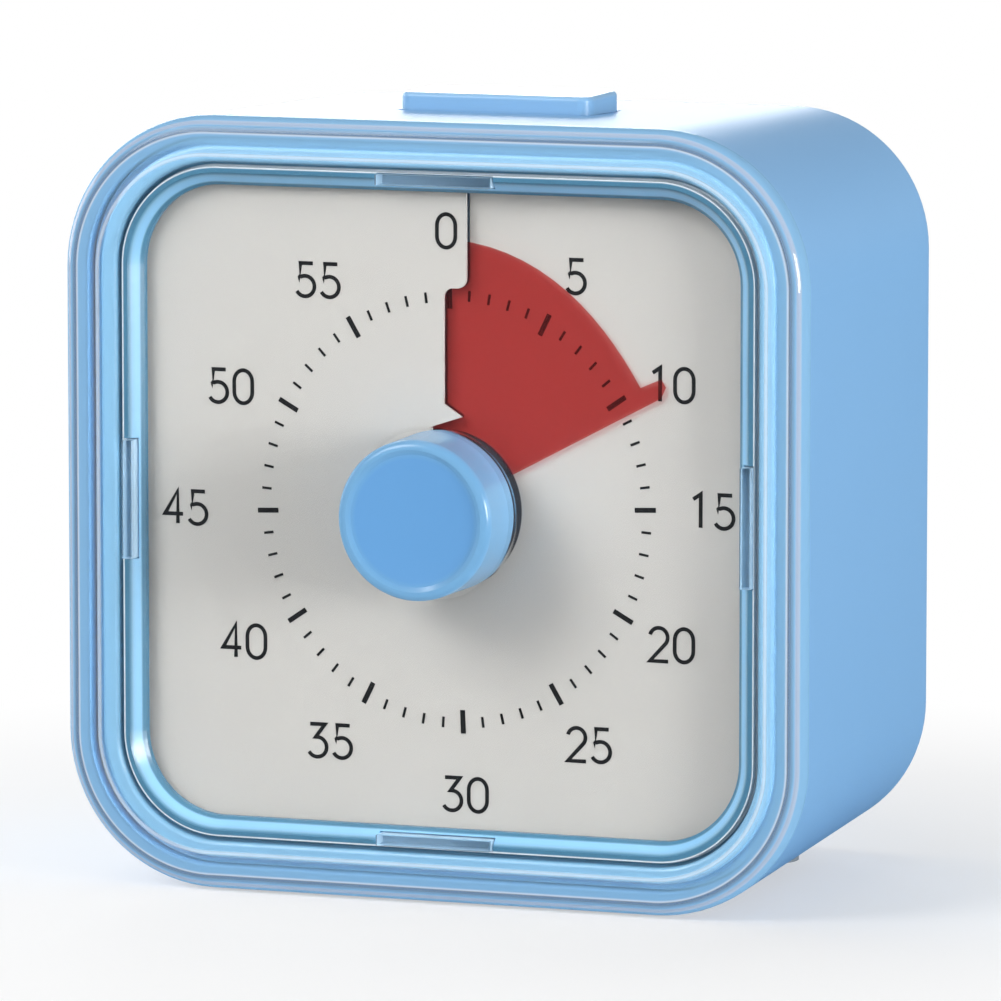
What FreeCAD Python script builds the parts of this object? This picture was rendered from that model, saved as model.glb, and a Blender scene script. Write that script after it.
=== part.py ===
import FreeCAD, Part
import math
import os
import re

import Sketcher
from FreeCAD import Rotation, Vector

# Visual countdown timer: a moulded case with a clear front, a slit dial, a red time disc that winds
# through the slit, a knob on the spindle, a slow gear train, a stop button and an AA cell.
# Frame: +Z up, the front faces -Y, the origin is under the middle of the whole object.

DRIVING_SIZES = (
    ("case_width", 82.0, "case, across the front"),
    ("case_height", 82.0, "case, front bottom to top"),
    ("case_depth", 50.0, "front pane to back wall"),
    ("corner_radius", 16.4, "case corners seen from the front"),
    ("case_wall", 2.2, "case side walls"),
    ("back_wall", 2.2, "case back wall"),
    ("draft_angle", 1.85, "mould draft of the case, degrees"),
    ("back_round", 1.5, "edge round at the back"),
    ("pane_thick", 2.0, "clear front pane"),
    ("pane_edge", 2.45, "depth of the pane's rim, to the joint with the case"),
    ("pane_round", 2.0, "front edge round of the pane"),
    ("knob_hole", 9.0, "radius of the hole in the pane"),
    ("clip_length", 12.6, "snap clips of the pane"),
    ("clip_thick", 1.1, "snap clips of the pane"),
    ("clip_reach", 3.6, "how far the clips run behind the pane"),
    ("running_gap", 0.3, "clearance between pieces that move past each other"),
    ("seat_gap", 0.15, "clearance of a piece in its seat"),
    ("shaft_gap", 0.05, "radial clearance of shafts and screws in their holes"),
    ("opening_width", 66.1, "window in the front frame"),
    ("opening_height", 67.1, "window in the front frame"),
    ("opening_radius", 8.7, "window corners"),
    ("lip_width", 2.0, "sloping lip round the window"),
    ("groove_width", 0.5, "groove outside the lip"),
    ("band_width", 1.8, "raised band outside the groove"),
    ("frame_front", 2.5, "depth of the raised band"),
    ("frame_step", 3.9, "depth of the frame's outer flange"),
    ("frame_back", 5.1, "depth of the frame's back"),
    ("dial_depth", 5.4, "depth of the dial at the high side of its slit"),
    ("dial_thick", 0.4, "dial sheet"),
    ("dial_margin", 0.45, "dial under the edge of the window"),
    ("dial_hole", 7.4, "radius of the hole round the hub"),
    ("disc_thick", 0.25, "red film disc"),
    ("turn_pitch", 1.2, "rise of dial and disc in one turn"),
    ("disc_radius", 28.4, "red disc"),
    ("lead_radius", 25.5, "red disc at its leading edge"),
    ("tab_radius", 28.0, "tip of the pointer tab"),
    ("rest_angle", 62.0, "time set at rest, degrees of dial, six to the minute"),
    ("hub_radius", 5.0, "hub of the red disc"),
    ("knob_radius", 8.45, "knob at its front"),
    ("knob_reach", 4.5, "knob in front of the pane"),
    ("knob_back", 4.3, "depth of the knob's back"),
    ("knob_rim", 1.5, "flat rim round the knob's dish"),
    ("knob_dish", 0.6, "depth of the knob's dish"),
    ("knob_round", 0.9, "edge round of the knob"),
    ("spindle_radius", 1.6, "main spindle"),
    ("collar_radius", 3.4, "collar that bears the spindle"),
    ("tray_thick", 1.6, "inner tray that carries dial and movement"),
    ("movement_width", 44.0, "movement case"),
    ("movement_height", 40.0, "movement case"),
    ("movement_room", 9.6, "inside depth of the movement case"),
    ("movement_wall", 1.2, "movement case walls"),
    ("movement_side", -3.0, "movement case centre, sideways of the spindle"),
    ("movement_rise", 3.0, "movement case centre, above the spindle"),
    ("tooth_module", 0.3, "wheel teeth"),
    ("wheel_thick", 0.8, "wheels"),
    ("layer_step", 1.7, "from one wheel layer to the next"),
    ("arbor_radius", 0.4, "wheel arbors"),
    ("rotor_radius", 2.4, "magnet rotor"),
    ("button_width", 21.4, "stop button"),
    ("button_length", 10.0, "stop button, front to back"),
    ("button_place", 25.5, "depth of the button's middle"),
    ("button_rise", 1.3, "button above the case"),
    ("button_travel", 0.8, "travel of the button"),
    ("board_width", 44.0, "circuit board"),
    ("board_length", 20.0, "circuit board"),
    ("board_thick", 1.2, "circuit board"),
    ("board_drop", 11.0, "circuit board below the case top"),
    ("cell_radius", 7.2, "AA cell"),
    ("cell_length", 50.0, "AA cell"),
    ("bay_height", 16.5, "cell bay, inside"),
    ("bay_length", 60.0, "cell bay, inside"),
    ("bay_drop", 12.5, "middle of the cell bay below the spindle"),
    ("bay_wall", 1.4, "cell bay walls"),
    ("door_thick", 1.6, "cell door"),
    ("post_spread", 29.0, "case screw posts from the middle, each way"),
    ("post_radius", 3.6, "case screw posts"),
    ("screw_radius", 1.3, "case screw shank"),
    ("screw_head", 2.5, "case screw head"),
    ("foot_radius", 3.5, "rubber feet"),
    ("foot_drop", 0.5, "feet below the case"),
    ("foot_spread", 24.0, "feet from the middle line"),
)

doc = FreeCAD.newDocument("countdown_timer")
sheet = doc.addObject("Spreadsheet::Sheet", "sizes")
for row, (alias, value, meaning) in enumerate(DRIVING_SIZES, start=1):
    sheet.set(f"A{row}", meaning)
    sheet.set(f"B{row}", str(value))
    sheet.setAlias(f"B{row}", alias)
doc.recompute()


def size(alias):
    """The value of one driving size."""
    return float(sheet.get(alias))


def sheet_text(text):
    """An expression that names each driving size as a cell of the sheet."""
    aliases = {alias for alias, _, _ in DRIVING_SIZES}
    return re.sub(r"[a-z_]+", lambda word: f"sizes.{word[0]}" if word[0] in aliases else word[0], text)


def amount(text):
    """The number that an expression of driving sizes gives now."""
    return float(sheet.evalExpression(sheet_text(str(text))))


def bind(thing, **places):
    """Tie properties of an object to the sheet. Two underscores stand for a dot."""
    for name, text in places.items():
        thing.setExpression(name.replace("__", "."), sheet_text(str(text)))


# Shared places: the pane's front face, the spindle's height and the slope of the drafted walls.
FRONT = "( ( knob_reach - case_depth ) / 2 )"
AXIS = "( foot_drop + case_height / 2 )"
BACK = f"( {FRONT} + case_depth )"
SLOPE = "( tan(draft_angle * 1deg) )"
INNER_WIDE = "( case_width - 2 * case_wall )"
INNER_TALL = "( case_height - 2 * case_wall )"
INNER_ROUND = "( corner_radius - case_wall )"
CASE_TOP = "( foot_drop + case_height )"
TRAY_FRONT = "( dial_depth + 1.5 * turn_pitch + ( dial_thick + disc_thick ) / 2 + running_gap )"
MOVEMENT_FRONT = f"( {TRAY_FRONT} + tray_thick )"
BAY_MIDDLE = f"( {AXIS} - bay_drop )"
BUTTON_FLOOR = f"( {CASE_TOP} - case_wall - {SLOPE} * button_place )"
BOARD_TOP = f"( {CASE_TOP} - board_drop )"

PARTS = {}
TURNS = {
    "x": Rotation(Vector(0, 1, 0), 90),
    "y": Rotation(Vector(1, 0, 0), -90),
    "z": Rotation(),
}


def depth(text):
    """A place along Y, given as a depth behind the pane's front face."""
    return f"( {FRONT} + {text} )"


def place(thing, x, y, z):
    bind(thing, Placement__Base__x=x, Placement__Base__y=y, Placement__Base__z=z)
    return thing


def block(wide, deep, tall, x, y, z):
    """A box given by its sizes, the middle of its X extent and its low Y and Z corner."""
    box = doc.addObject("Part::Box", "block")
    bind(box, Length=wide, Width=deep, Height=tall)
    return place(box, f"{x} - ( {wide} ) / 2", y, z)


def rod(axis, radius, length, x, y, z):
    """A cylinder that runs from x, y, z in the + direction of one axis."""
    cylinder = doc.addObject("Part::Cylinder", "rod")
    cylinder.Placement = FreeCAD.Placement(Vector(), TURNS[axis])
    bind(cylinder, Radius=radius, Height=length)
    return place(cylinder, x, y, z)


def fused(*pieces):
    if len(pieces) == 1:
        return pieces[0]
    union = doc.addObject("Part::MultiFuse", "union")
    union.Shapes = list(pieces)
    union.Refine = True
    return union


def without(base, *tools):
    difference = doc.addObject("Part::Cut", "difference")
    difference.Base = base
    difference.Tool = fused(*tools)
    difference.Refine = True
    return difference


def group(*pieces):
    """Separate solids that share one node."""
    compound = doc.addObject("Part::Compound", "group")
    compound.Links = list(pieces)
    return compound


def drawn(shape, placement=FreeCAD.Placement()):
    """A piece whose shape is worked out in code from the sheet's sizes."""
    feature = doc.addObject("Part::Feature", "drawn")
    feature.Shape = shape
    feature.Placement = placement
    return feature


def keep(node, piece):
    """Name a finished sub-part."""
    piece.Label = node
    PARTS[node] = piece
    return piece


def rounded_frame(sketch, wide, tall, radius):
    """A centred rectangle with round corners, its four sizes tied to the sheet."""
    half_x = amount(wide) / 2
    half_z = amount(tall) / 2
    r = amount(radius)
    straight_x = half_x - r
    straight_z = half_z - r
    first = sketch.GeometryCount
    corners = (
        (Vector(-straight_x, -half_z), Vector(straight_x, -half_z), Vector(straight_x, -straight_z), 270),
        (Vector(half_x, -straight_z), Vector(half_x, straight_z), Vector(straight_x, straight_z), 0),
        (Vector(straight_x, half_z), Vector(-straight_x, half_z), Vector(-straight_x, straight_z), 90),
        (Vector(-half_x, straight_z), Vector(-half_x, -straight_z), Vector(-straight_x, -straight_z), 180),
    )
    for start, end, centre, angle in corners:
        sketch.addGeometry(Part.LineSegment(start, end), False)
        circle = Part.Circle(centre, Vector(0, 0, 1), r)
        sketch.addGeometry(Part.ArcOfCircle(circle, math.radians(angle), math.radians(angle + 90)), False)
    bottom, right, top, left = first, first + 2, first + 4, first + 6
    add = sketch.addConstraint
    for side in (bottom, right, top, left):
        arc = side + 1
        following = first + (side - first + 2) % 8
        add(Sketcher.Constraint("Tangent", side, 2, arc, 1))
        add(Sketcher.Constraint("Tangent", arc, 2, following, 1))
    for side in (bottom, top):
        add(Sketcher.Constraint("Horizontal", side))
    for side in (right, left):
        add(Sketcher.Constraint("Vertical", side))
    for side in (right, top, left):
        add(Sketcher.Constraint("Equal", bottom + 1, side + 1))
    dimensions = (
        (Sketcher.Constraint("Radius", bottom + 1, r), radius),
        (Sketcher.Constraint("DistanceX", -1, 1, right, 1, half_x), f"( {wide} ) / 2"),
        (Sketcher.Constraint("DistanceX", left, 1, -1, 1, half_x), f"( {wide} ) / 2"),
        (Sketcher.Constraint("DistanceY", -1, 1, top, 1, half_z), f"( {tall} ) / 2"),
        (Sketcher.Constraint("DistanceY", bottom, 1, -1, 1, half_z), f"( {tall} ) / 2"),
    )
    for constraint, text in dimensions:
        index = add(constraint)
        sketch.setExpression(f"Constraints[{index}]", sheet_text(text))


def slab(body, start, length, outline, remove=False, slope=None):
    """Pad or pocket a round-cornered outline, in from depth start, to the back."""
    sketch = body.newObject("Sketcher::SketchObject", "outline")
    upright = next(item for item in body.Origin.OriginFeatures if item.Role == "XZ_Plane")
    sketch.AttachmentSupport = (upright, [""])
    sketch.MapMode = "FlatFace"
    bind(sketch, AttachmentOffset__Base__y=AXIS, AttachmentOffset__Base__z=f"-( {depth(start)} )")
    for wide, tall, radius in outline:
        rounded_frame(sketch, wide, tall, radius)
    kind = "PartDesign::Pocket" if remove else "PartDesign::Pad"
    feature = body.newObject(kind, "pocket" if remove else "pad")
    feature.Profile = sketch
    feature.Reversed = not remove
    bind(feature, Length=length)
    if slope:
        bind(feature, TaperAngle=slope)
    doc.recompute()
    body.Tip = feature
    return feature


def soften(body, radius, chosen):
    """Round the edges of a body's tip that the chosen test accepts."""
    tip = body.Tip
    names = [f"Edge{i}" for i, edge in enumerate(tip.Shape.Edges, start=1) if chosen(edge)]
    fillet = body.newObject("PartDesign::Fillet", "fillet")
    fillet.Base = (tip, names)
    bind(fillet, Radius=radius)
    doc.recompute()
    body.Tip = fillet
    return fillet


def at_depth(text, beyond=0.0):
    """A test for edges that lie at one depth and reach further out than a distance."""
    target = amount(depth(text))
    middle = amount(AXIS)

    def chosen(edge):
        box = edge.BoundBox
        reach = max(abs(box.XMin), abs(box.XMax), abs(box.ZMin - middle), abs(box.ZMax - middle))
        flat = abs(box.YMin - target) < 0.01 and abs(box.YMax - target) < 0.01
        return flat and reach > beyond

    return chosen


def helix_sheet(turn, reach, inner, thick, height):
    """A thin sheet that rises as it goes round: radial cross sections joined by a ruled loft."""
    sections = []
    for angle in turn:
        way = Vector(math.sin(math.radians(angle)), 0, math.cos(math.radians(angle)))
        front = Vector(0, height(angle), amount(AXIS))
        back = front + Vector(0, thick, 0)
        near = way * inner
        far = way * reach(angle)
        sections.append(Part.makePolygon([near + front, far + front, far + back, near + back, near + front]))
    return Part.makeLoft(sections, True, True, False)


def gear(teeth, x, z, start, thick, phase, bore=0.0):
    """A spur wheel with slim straight-sided teeth about an axis along Y."""
    module = size("tooth_module")
    pitch = 360.0 / teeth
    root = module * (teeth / 2 - 1.15)
    tip = module * (teeth / 2 + 0.85)
    points = []
    for number in range(teeth):
        middle = phase + number * pitch
        for share, radius in ((-0.29, root), (-0.09, tip), (0.09, tip), (0.29, root)):
            angle = math.radians(middle + share * pitch)
            points.append(Vector(x + radius * math.sin(angle), start, z + radius * math.cos(angle)))
    points.append(points[0])
    wheel = Part.Face(Part.makePolygon(points)).extrude(Vector(0, thick, 0))
    if bore:
        wheel = wheel.cut(Part.makeCylinder(bore, thick, Vector(x, start, z), Vector(0, 1, 0)))
    return wheel


# Case: one drafted cup. Its back wall holds the cell bay, the screw wells and the sound holes.
case_body = doc.addObject("PartDesign::Body", "case_body")
slab(case_body, "pane_edge", "case_depth - pane_edge", [("case_width", "case_height", "corner_radius")],
     slope="-draft_angle")
soften(case_body, "back_round", at_depth("case_depth"))
slab(case_body, "pane_edge", "case_depth - pane_edge - back_wall",
     [(INNER_WIDE, INNER_TALL, INNER_ROUND)], remove=True, slope="-draft_angle")

BAY_DEEP = "( 2 * cell_radius + 1.2 + door_thick )"
bay_start = f"( {BACK} - {BAY_DEEP} )"
bay_block = block("bay_length + 2 * bay_wall", f"{BAY_DEEP} + bay_wall - 0.5", "bay_height + 2 * bay_wall",
                  "0", f"{bay_start} - bay_wall", f"{BAY_MIDDLE} - bay_height / 2 - bay_wall")
bay_room = block("bay_length", f"{BAY_DEEP} + 1", "bay_height", "0", bay_start, f"{BAY_MIDDLE} - bay_height / 2")
door_tall = "( bay_height + 2.4 )"
door_long = "( bay_length + 2.4 )"
door_seat = block(door_long, "door_thick + 1", door_tall, "0", f"{BACK} - door_thick - seat_gap",
                  f"{BAY_MIDDLE} - {door_tall} / 2")
hook_slots = [
    block("5.0", "2.4", "2.2", f"{side} * 16", f"{BACK} - door_thick - 2.3", f"{BAY_MIDDLE} - {door_tall} / 2 - 1.9")
    for side in (-1, 1)
]
POST_FRONT = f"( {TRAY_FRONT} + tray_thick + 8 )"
wells = []
well_rooms = []
shank_holes = []
for side_x in (-1, 1):
    for side_z in (-1, 1):
        x = f"{side_x} * post_spread"
        z = f"{AXIS} + {side_z} * post_spread"
        wells.append(rod("y", "post_radius", f"case_depth - 0.5 - {POST_FRONT}", x, depth(POST_FRONT), z))
        well_rooms.append(rod("y", "screw_head + running_gap", "case_depth", x, depth(f"{POST_FRONT} + 2"), z))
        shank_holes.append(rod("y", "screw_radius + shaft_gap", "case_depth", x, depth("case_wall"), z))
sound_holes = [
    rod("y", "0.9", "back_wall + 2", f"{3.4 * column}", f"{BACK} - back_wall - 1", f"{AXIS} + 16 + {3.4 * line}")
    for column in range(-2, 3) for line in range(-1, 2)
]
button_hole = block("button_width + 2 * seat_gap", "button_length + 2 * seat_gap", "8", "0",
                    depth("button_place - button_length / 2 - seat_gap"), f"{BUTTON_FLOOR} - 3")
ceiling_posts = [
    rod("z", "2.2", f"board_drop - case_wall - {SLOPE} * ( button_place + {ahead} * 7 ) + 0.4",
        f"{side} * ( board_width / 2 - 3 )", depth(f"button_place + {ahead} * 7"), BOARD_TOP)
    for side, ahead in ((-1, -1), (1, 1))
]
ceiling_pilots = [
    rod("z", "0.8 + shaft_gap", "6", f"{side} * ( board_width / 2 - 3 )",
        depth(f"button_place + {ahead} * 7"), f"{BOARD_TOP} - 1")
    for side, ahead in ((-1, -1), (1, 1))
]
foot_depths = ("( 2 * foot_radius + pane_edge )", "( case_depth - 2.6 * foot_radius )")
foot_tops = {where: f"( foot_drop + {SLOPE} * ( {where} - pane_edge ) + 0.9 )" for where in foot_depths}
foot_seats = [
    rod("z", "foot_radius", f"{foot_tops[where]} + 5", f"{side} * foot_spread", depth(where), "-5")
    for side in (-1, 1) for where in foot_depths
]
case_filled = fused(case_body, bay_block, *wells, *ceiling_posts)
keep("housing", without(case_filled, bay_room, door_seat, *hook_slots, *well_rooms, *shank_holes,
                        *sound_holes, button_hole, *ceiling_pilots, *foot_seats))
keep("rubber_feet", group(*[
    rod("z", "foot_radius", foot_tops[where], f"{side} * foot_spread", depth(where), "0")
    for side in (-1, 1) for where in foot_depths
]))

# Clear pane: a shallow cap with a round hole for the knob and a snap clip on each side.
pane_body = doc.addObject("PartDesign::Body", "pane_body")
slab(pane_body, "0", "pane_edge", [("case_width", "case_height", "corner_radius")])
soften(pane_body, "pane_round", at_depth("0"))
slab(pane_body, "pane_thick", "pane_edge",
     [(INNER_WIDE, INNER_TALL, INNER_ROUND)], remove=True)
knob_way = rod("y", "knob_hole", "pane_edge + 2", "0", depth("-1"), AXIS)
CLIP_X = "( opening_width / 2 + 0.35 * lip_width )"
CLIP_Z = "( opening_height / 2 + 0.35 * lip_width )"


def clip_blocks(grow, start, reach):
    """The four clips, or their slots when they grow by a clearance."""
    thick = f"clip_thick + 2 * {grow}"
    long = f"clip_length + 2 * {grow}"
    blocks = []
    for side in (-1, 1):
        blocks.append(block(thick, reach, long, f"{side} * ( {CLIP_X} + clip_thick / 2 )", start,
                            f"{AXIS} - ( {long} ) / 2"))
        blocks.append(block(long, reach, thick, "0", start,
                            f"{AXIS} + {side} * ( {CLIP_Z} + clip_thick / 2 ) - ( {thick} ) / 2"))
    return blocks


pane_clips = clip_blocks("0", depth("pane_thick - 0.2"), "clip_reach + 0.2")
keep("front_cover", without(fused(pane_body, *pane_clips), knob_way))

# Front frame: a glossy ring round the window, with a sloping lip, a groove and a raised band.
LIP_WIDE = "( opening_width + 2 * lip_width )"
LIP_TALL = "( opening_height + 2 * lip_width )"
LIP_ROUND = "( opening_radius + lip_width )"
GROOVE_WIDE = f"( {LIP_WIDE} + 2 * groove_width )"
GROOVE_TALL = f"( {LIP_TALL} + 2 * groove_width )"
GROOVE_ROUND = f"( {LIP_ROUND} + groove_width )"
BAND_WIDE = f"( {GROOVE_WIDE} + 2 * band_width )"
BAND_TALL = f"( {GROOVE_TALL} + 2 * band_width )"
BAND_ROUND = f"( {GROOVE_ROUND} + band_width )"
window = ("opening_width", "opening_height", "opening_radius")
FRAME_WIDE = f"( {INNER_WIDE} - 4 * seat_gap )"
FRAME_TALL = f"( {INNER_TALL} - 4 * seat_gap )"
FRAME_ROUND = f"( {INNER_ROUND} - 2 * seat_gap )"
frame_body = doc.addObject("PartDesign::Body", "frame_body")
slab(frame_body, "frame_step", "frame_back - frame_step", [(FRAME_WIDE, FRAME_TALL, FRAME_ROUND), window])
slab(frame_body, "frame_front", "frame_step - frame_front + 0.5",
     [(BAND_WIDE, BAND_TALL, BAND_ROUND), (GROOVE_WIDE, GROOVE_TALL, GROOVE_ROUND)])
soften(frame_body, "groove_width * 0.9", at_depth("frame_front", beyond=1))
slab(frame_body, "frame_front + 0.4", "frame_step - frame_front", [(LIP_WIDE, LIP_TALL, LIP_ROUND), window])
lip_edge = at_depth("frame_front + 0.4", beyond=1)
window_reach = max(size("opening_width"), size("opening_height")) / 2 + 0.05
tip = frame_body.Tip
lip_edges = [
    f"Edge{i}" for i, edge in enumerate(tip.Shape.Edges, start=1)
    if lip_edge(edge) and max(abs(edge.BoundBox.XMin), abs(edge.BoundBox.XMax),
                              abs(edge.BoundBox.ZMin - amount(AXIS)),
                              abs(edge.BoundBox.ZMax - amount(AXIS))) < window_reach
]
lip_slope = frame_body.newObject("PartDesign::Chamfer", "lip_slope")
lip_slope.Base = (tip, lip_edges)
lip_slope.ChamferType = "Two distances"
bind(lip_slope, Size="lip_width * 0.7", Size2="lip_width * 0.7")
doc.recompute()
frame_body.Tip = lip_slope
keep("front_frame", without(frame_body, *clip_blocks("seat_gap", depth("frame_front"), "frame_back")))


# Dial: a grey sheet with one stepped slit, wound up by one pitch, so that the disc passes through.
def rounded_reach(angle):
    """Distance from the spindle to the dial's edge, a rectangle with round corners."""
    half_x = size("opening_width") / 2 + size("dial_margin")
    half_z = size("opening_height") / 2 + size("dial_margin")
    radius = size("opening_radius") + size("dial_margin")
    across = abs(math.sin(math.radians(angle)))
    up = abs(math.cos(math.radians(angle)))
    straight = min(half_x / max(across, 1e-6), half_z / max(up, 1e-6))
    centre_x = half_x - radius
    centre_z = half_z - radius
    along = across * centre_x + up * centre_z
    off = centre_x * centre_x + centre_z * centre_z - radius * radius
    corner = along + math.sqrt(max(along * along - off, 0.0))
    inside = straight * across <= centre_x or straight * up <= centre_z
    return straight if inside else corner


axis_height = amount(AXIS)
dial_front = amount(depth("dial_depth"))
pitch = size("turn_pitch")
lap = 12
dial_step = 4


def dial_height(angle):
    return dial_front + pitch * (1 - angle / 360.0)


dial_turn = range(-lap, 360 + lap + 1, dial_step)
dial_sheet = helix_sheet(dial_turn, rounded_reach, size("dial_hole"), size("dial_thick"), dial_height)

# The slit runs down beside the zero, steps in under the numeral and ends in a small hook at the hub.
slit_outer = 2.6
slit_inner = 0.1
step_top = 24.4
step_bottom = 22.4
step_round = 1.0
hook_low = 11.2
hook_tip = Vector(2.1, 0, 9.9)
hook_end = Vector(-1.5, 0, 8.7)
bend = step_round * math.sqrt(0.5)
shelf = (step_top + step_bottom) / 2
slit_top = size("opening_height")
slit_edges = [
    Part.LineSegment(Vector(slit_outer, 0, slit_top), Vector(slit_outer, 0, step_top)),
    Part.Arc(Vector(slit_outer, 0, step_top),
             Vector(slit_outer - step_round + bend, 0, shelf + step_round - bend),
             Vector(slit_outer - step_round, 0, shelf)),
    Part.LineSegment(Vector(slit_outer - step_round, 0, shelf), Vector(slit_inner + step_round, 0, shelf)),
    Part.Arc(Vector(slit_inner + step_round, 0, shelf),
             Vector(slit_inner + step_round - bend, 0, shelf - step_round + bend),
             Vector(slit_inner, 0, step_bottom)),
    Part.LineSegment(Vector(slit_inner, 0, step_bottom), Vector(slit_inner, 0, hook_low)),
    Part.LineSegment(Vector(slit_inner, 0, hook_low), hook_tip),
    Part.LineSegment(hook_tip, hook_end),
    Part.LineSegment(hook_end, Vector(hook_end.x, 0, 2)),
]


def beside_slit(side, start, length):
    """The part of one layer that lies left or right of the slit, near the top of the dial."""
    far = side * size("opening_width") / 2
    edges = slit_edges + [
        Part.LineSegment(Vector(hook_end.x, 0, 2), Vector(far, 0, 2)),
        Part.LineSegment(Vector(far, 0, 2), Vector(far, 0, slit_top)),
        Part.LineSegment(Vector(far, 0, slit_top), Vector(slit_outer, 0, slit_top)),
    ]
    region = Part.Face(Part.Wire([edge.toShape() for edge in edges]))
    region.translate(Vector(0, start, axis_height))
    return region.extrude(Vector(0, length, 0))


layer_reach = pitch / 2 + size("dial_thick") / 2
high_layer = beside_slit(1, dial_front - pitch / 2, layer_reach + pitch / 2)
low_layer = beside_slit(-1, dial_front + layer_reach + 0.1, pitch)
keep("dial_plate", drawn(dial_sheet.cut(high_layer).cut(low_layer)))

# Red time disc: a film with a pointer tab, wound like the dial and half a pitch behind it.
rest_turn = size("rest_angle")
disc_front = dial_front + (pitch + size("dial_thick") - size("disc_thick")) / 2
disc_rest = disc_front - pitch * rest_turn / 360.0
tab_turns = (0.0, 1.6, 3.6, 4.4)


def disc_height(angle):
    return disc_rest + pitch * (rest_turn - angle) / 360.0


def disc_reach(angle):
    """Radius of the film, which eases in towards its leading edge and ends in the pointer tab."""
    back = rest_turn - angle
    if back < tab_turns[1] + 0.01:
        return size("tab_radius") - 1.0 + back / tab_turns[1]
    if back < tab_turns[2] + 0.01:
        return size("tab_radius")
    ease = 0.5 - 0.5 * math.cos(math.pi * min(back / rest_turn, 1.0))
    return size("lead_radius") + (size("disc_radius") - size("lead_radius")) * ease


disc_turn = [rest_turn - back for back in tab_turns] + [rest_turn - back for back in range(8, 361, 4)]
film = helix_sheet(disc_turn, disc_reach, size("hub_radius") - 1.2, size("disc_thick"), disc_height)
hub_front = disc_rest - size("running_gap")
hub_length = pitch + size("disc_thick") + size("running_gap") * 4 / 3
hub_round = Part.makeCylinder(size("hub_radius"), hub_length, Vector(0, hub_front, axis_height), Vector(0, 1, 0))
hub_bore = Part.makeCylinder(size("spindle_radius") + size("shaft_gap"), hub_length,
                             Vector(0, hub_front, axis_height), Vector(0, 1, 0))
keep("time_disc", drawn(film))
keep("disc_hub", drawn(hub_round.cut(hub_bore).cut(film)))

# Knob: a turned shape with a shallow dish, pressed on the spindle.
knob_solid = doc.addObject("PartDesign::Body", "knob_body")
profile = knob_solid.newObject("Sketcher::SketchObject", "profile")
side_plane = next(item for item in knob_solid.Origin.OriginFeatures if item.Role == "YZ_Plane")
profile.AttachmentSupport = (side_plane, [""])
profile.MapMode = "FlatFace"
bind(profile, AttachmentOffset__Base__x=depth("0"), AttachmentOffset__Base__y=AXIS)
reach = size("knob_reach")
radius = size("knob_radius")
rim = radius - size("knob_rim")
dish = size("knob_dish")
round_edge = size("knob_round")
skirt = radius + 0.1
knob_points = [
    Vector(-reach + dish, 0, 0),
    Vector(-reach + dish * 0.55, rim, 0),
    Vector(-reach, rim + 0.5, 0),
    Vector(-reach, radius - round_edge, 0),
    Vector(-reach + round_edge, radius, 0),
    Vector(size("knob_back"), skirt, 0),
    Vector(size("knob_back"), 0, 0),
]
bulge = round_edge * (1 - math.sqrt(0.5))
dish_middle = Vector(-reach + dish * 0.9, rim * 0.55, 0)
profile.addGeometry(Part.Arc(knob_points[0], dish_middle, knob_points[1]), False)
profile.addGeometry(Part.LineSegment(knob_points[1], knob_points[2]), False)
profile.addGeometry(Part.LineSegment(knob_points[2], knob_points[3]), False)
profile.addGeometry(Part.Arc(knob_points[3], Vector(-reach + bulge, radius - bulge, 0), knob_points[4]), False)
profile.addGeometry(Part.LineSegment(knob_points[4], knob_points[5]), False)
profile.addGeometry(Part.LineSegment(knob_points[5], knob_points[6]), False)
profile.addGeometry(Part.LineSegment(knob_points[6], knob_points[0]), False)
turned = knob_solid.newObject("PartDesign::Revolution", "turned")
turned.Profile = profile
turned.ReferenceAxis = (profile, ["H_Axis"])
turned.Angle = 360
doc.recompute()
knob_solid.Tip = turned
SPINDLE_FRONT = "( 0.6 - knob_reach + 1.6 )"
keep("knob", without(knob_solid, rod("y", "spindle_radius", f"knob_back - {SPINDLE_FRONT} + 1", "0",
                                     depth(SPINDLE_FRONT), AXIS)))

# Spindle and its friction clutch: the knob turns the disc while the train holds still.
CLUTCH_PLACE = f"( {MOVEMENT_FRONT} + movement_wall + running_gap )"
WHEEL_ONE = f"( {CLUTCH_PLACE} + 0.7 )"
SPINDLE_BACK = f"( {WHEEL_ONE} + wheel_thick + 0.45 )"
keep("spindle", fused(
    rod("y", "spindle_radius", f"{SPINDLE_BACK} - {SPINDLE_FRONT}", "0", depth(SPINDLE_FRONT), AXIS),
    rod("y", "collar_radius", "0.5", "0", depth(CLUTCH_PLACE), AXIS)))
keep("clutch_washer", without(
    rod("y", "collar_radius", "0.3", "0", depth(f"{WHEEL_ONE} + wheel_thick + 0.05"), AXIS),
    rod("y", "spindle_radius", "1", "0", depth(f"{WHEEL_ONE} + wheel_thick"), AXIS)))

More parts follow.
